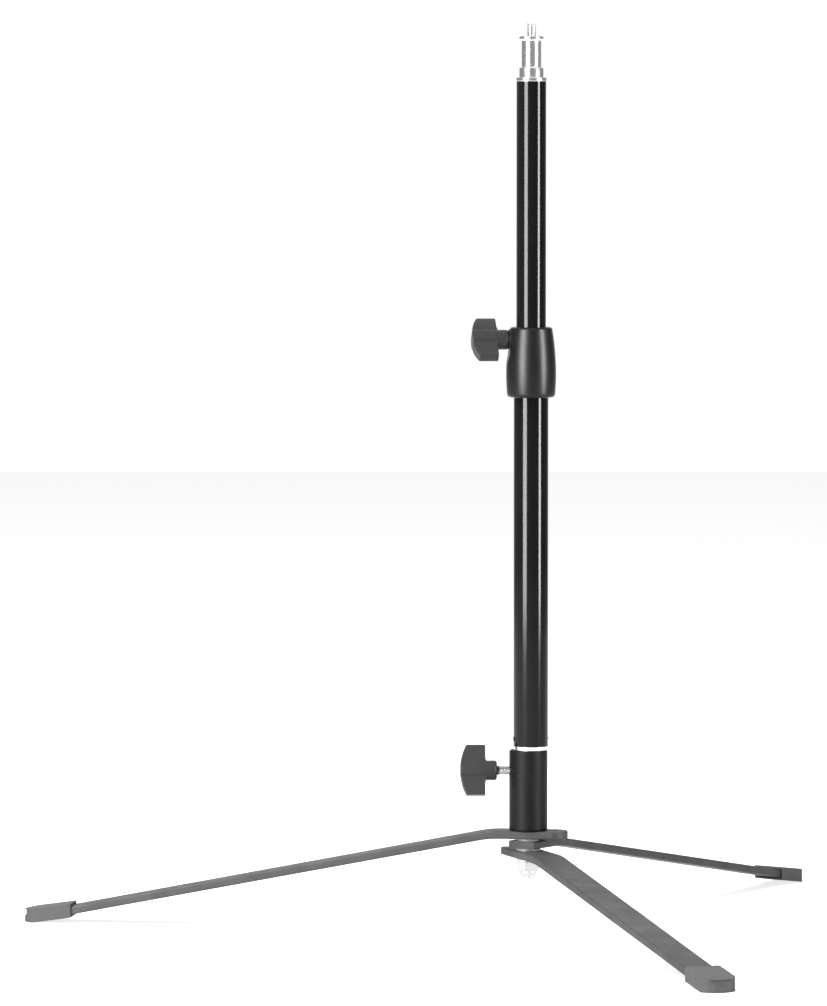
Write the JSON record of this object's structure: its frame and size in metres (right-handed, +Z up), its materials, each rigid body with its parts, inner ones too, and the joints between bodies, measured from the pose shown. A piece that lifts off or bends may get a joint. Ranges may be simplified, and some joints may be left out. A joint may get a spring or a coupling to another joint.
{
  "type": "folding light stand",
  "caption": "Small floor stand: flat folding legs on one pivot bolt, a plug-in telescoping column locked by wing knobs, and a lighting stud with a threaded tip.",
  "frame": {"origin": "on the floor, under the middle of the bounding box with the legs spread", "axes": "+Z up along the column, +X to the right of the knobs, which stand out to -X, +Y to the back"},
  "size_m": [0.5163, 0.5847, 0.5808],
  "materials": {
    "socket_paint": "satin black paint",
    "tube_black": "gloss black",
    "leg_coat": "dark grey fine-textured powder coat",
    "chrome": "polished chrome",
    "steel": "zinc-plated steel",
    "knob_plastic": "moulded black plastic, satin",
    "collar_plastic": "moulded black plastic, satin",
    "white_nylon": "natural white nylon",
    "foot_rubber": "grey rubber, matte",
    "brass": "turned brass"
  },
  "bodies": {
    "hub": {"base_socket": "socket_paint", "pivot_bolt": "steel", "upper_washer": "white_nylon", "lower_washer": "white_nylon", "flat_washer": "steel", "lock_nut": "steel", "nut_insert": "white_nylon"},
    "left_leg": {"leg_left": "leg_coat", "tail_spacer": "leg_coat", "tail_rivet": "steel", "foot_left": "foot_rubber"},
    "right_leg": {"leg_right": "leg_coat", "foot_right": "foot_rubber"},
    "front_leg": {"leg_front": "leg_coat", "foot_front": "foot_rubber"},
    "base_pad": {"base_clamp_pad": "white_nylon"},
    "base_wing_knob": {"base_knob": "knob_plastic", "base_knob_screw": "steel"},
    "ring": {"column_ring": "chrome"},
    "column": {"column_spigot": "chrome", "cross_pin": "tube_black", "lower_tube": "tube_black", "lock_collar": "collar_plastic", "collar_bush": "white_nylon", "collar_insert": "brass"},
    "collar_pad": {"collar_clamp_pad": "white_nylon"},
    "collar_wing_knob": {"collar_knob": "knob_plastic", "collar_knob_screw": "steel"},
    "guide": {"guide_bush": "white_nylon"},
    "upper_stage": {"upper_tube": "tube_black", "top_stud": "chrome"}
  },
  "joints": [
    {"name": "left_leg_swing", "type": "hinge", "parent": "hub", "child": "left_leg", "pos_m": [0.06808, 0.01816, 0.064], "axis": [0, 0, 1], "continuous": true},
    {"name": "right_leg_fold", "type": "hinge", "parent": "left_leg", "child": "right_leg", "pos_m": [0.06808, 0.01816, 0.064], "axis": [0, 0, 1], "range_deg": [-25, 102]},
    {"name": "front_leg_fold", "type": "hinge", "parent": "left_leg", "child": "front_leg", "pos_m": [0.06808, 0.01816, 0.064], "axis": [0, 0, 1], "range_deg": [-104, 25]},
    {"name": "base_pad_travel", "type": "slide", "parent": "hub", "child": "base_pad", "axis": [-1, 0, 0], "range_m": [0, 0.0015]},
    {"name": "base_knob_turn", "type": "hinge", "parent": "base_pad", "child": "base_wing_knob", "pos_m": [0.06808, 0.01816, 0.1026], "axis": [-1, 0, 0], "range_deg": [0, 540]},
    {"name": "column_lift", "type": "slide", "parent": "hub", "child": "ring", "axis": [0, 0, 1], "range_m": [0, 0.06]},
    {"name": "column_swivel", "type": "hinge", "parent": "ring", "child": "column", "pos_m": [0.06958, 0.01816, 0.1161], "axis": [0, 0, 1], "continuous": true},
    {"name": "collar_pad_travel", "type": "slide", "parent": "column", "child": "collar_pad", "axis": [-0.9954, -0.0958, 0], "range_m": [0, 0.0015]},
    {"name": "collar_knob_turn", "type": "hinge", "parent": "collar_pad", "child": "collar_wing_knob", "pos_m": [0.06958, 0.01816, 0.3792], "axis": [-0.9954, -0.0958, 0], "range_deg": [0, 540]},
    {"name": "upper_tube_slide", "type": "slide", "parent": "column", "child": "guide", "axis": [0, 0, 1], "range_m": [-0.155, 0.065]},
    {"name": "upper_tube_swivel", "type": "hinge", "parent": "guide", "child": "upper_stage", "pos_m": [0.06958, 0.01816, 0.3], "axis": [0, 0, 1], "continuous": true}
  ],
  "couplings": [
    {"joint": "base_knob_turn", "follows": "base_pad_travel", "rad_per_m": 6283.2},
    {"joint": "collar_knob_turn", "follows": "collar_pad_travel", "rad_per_m": 6283.2}
  ]
}
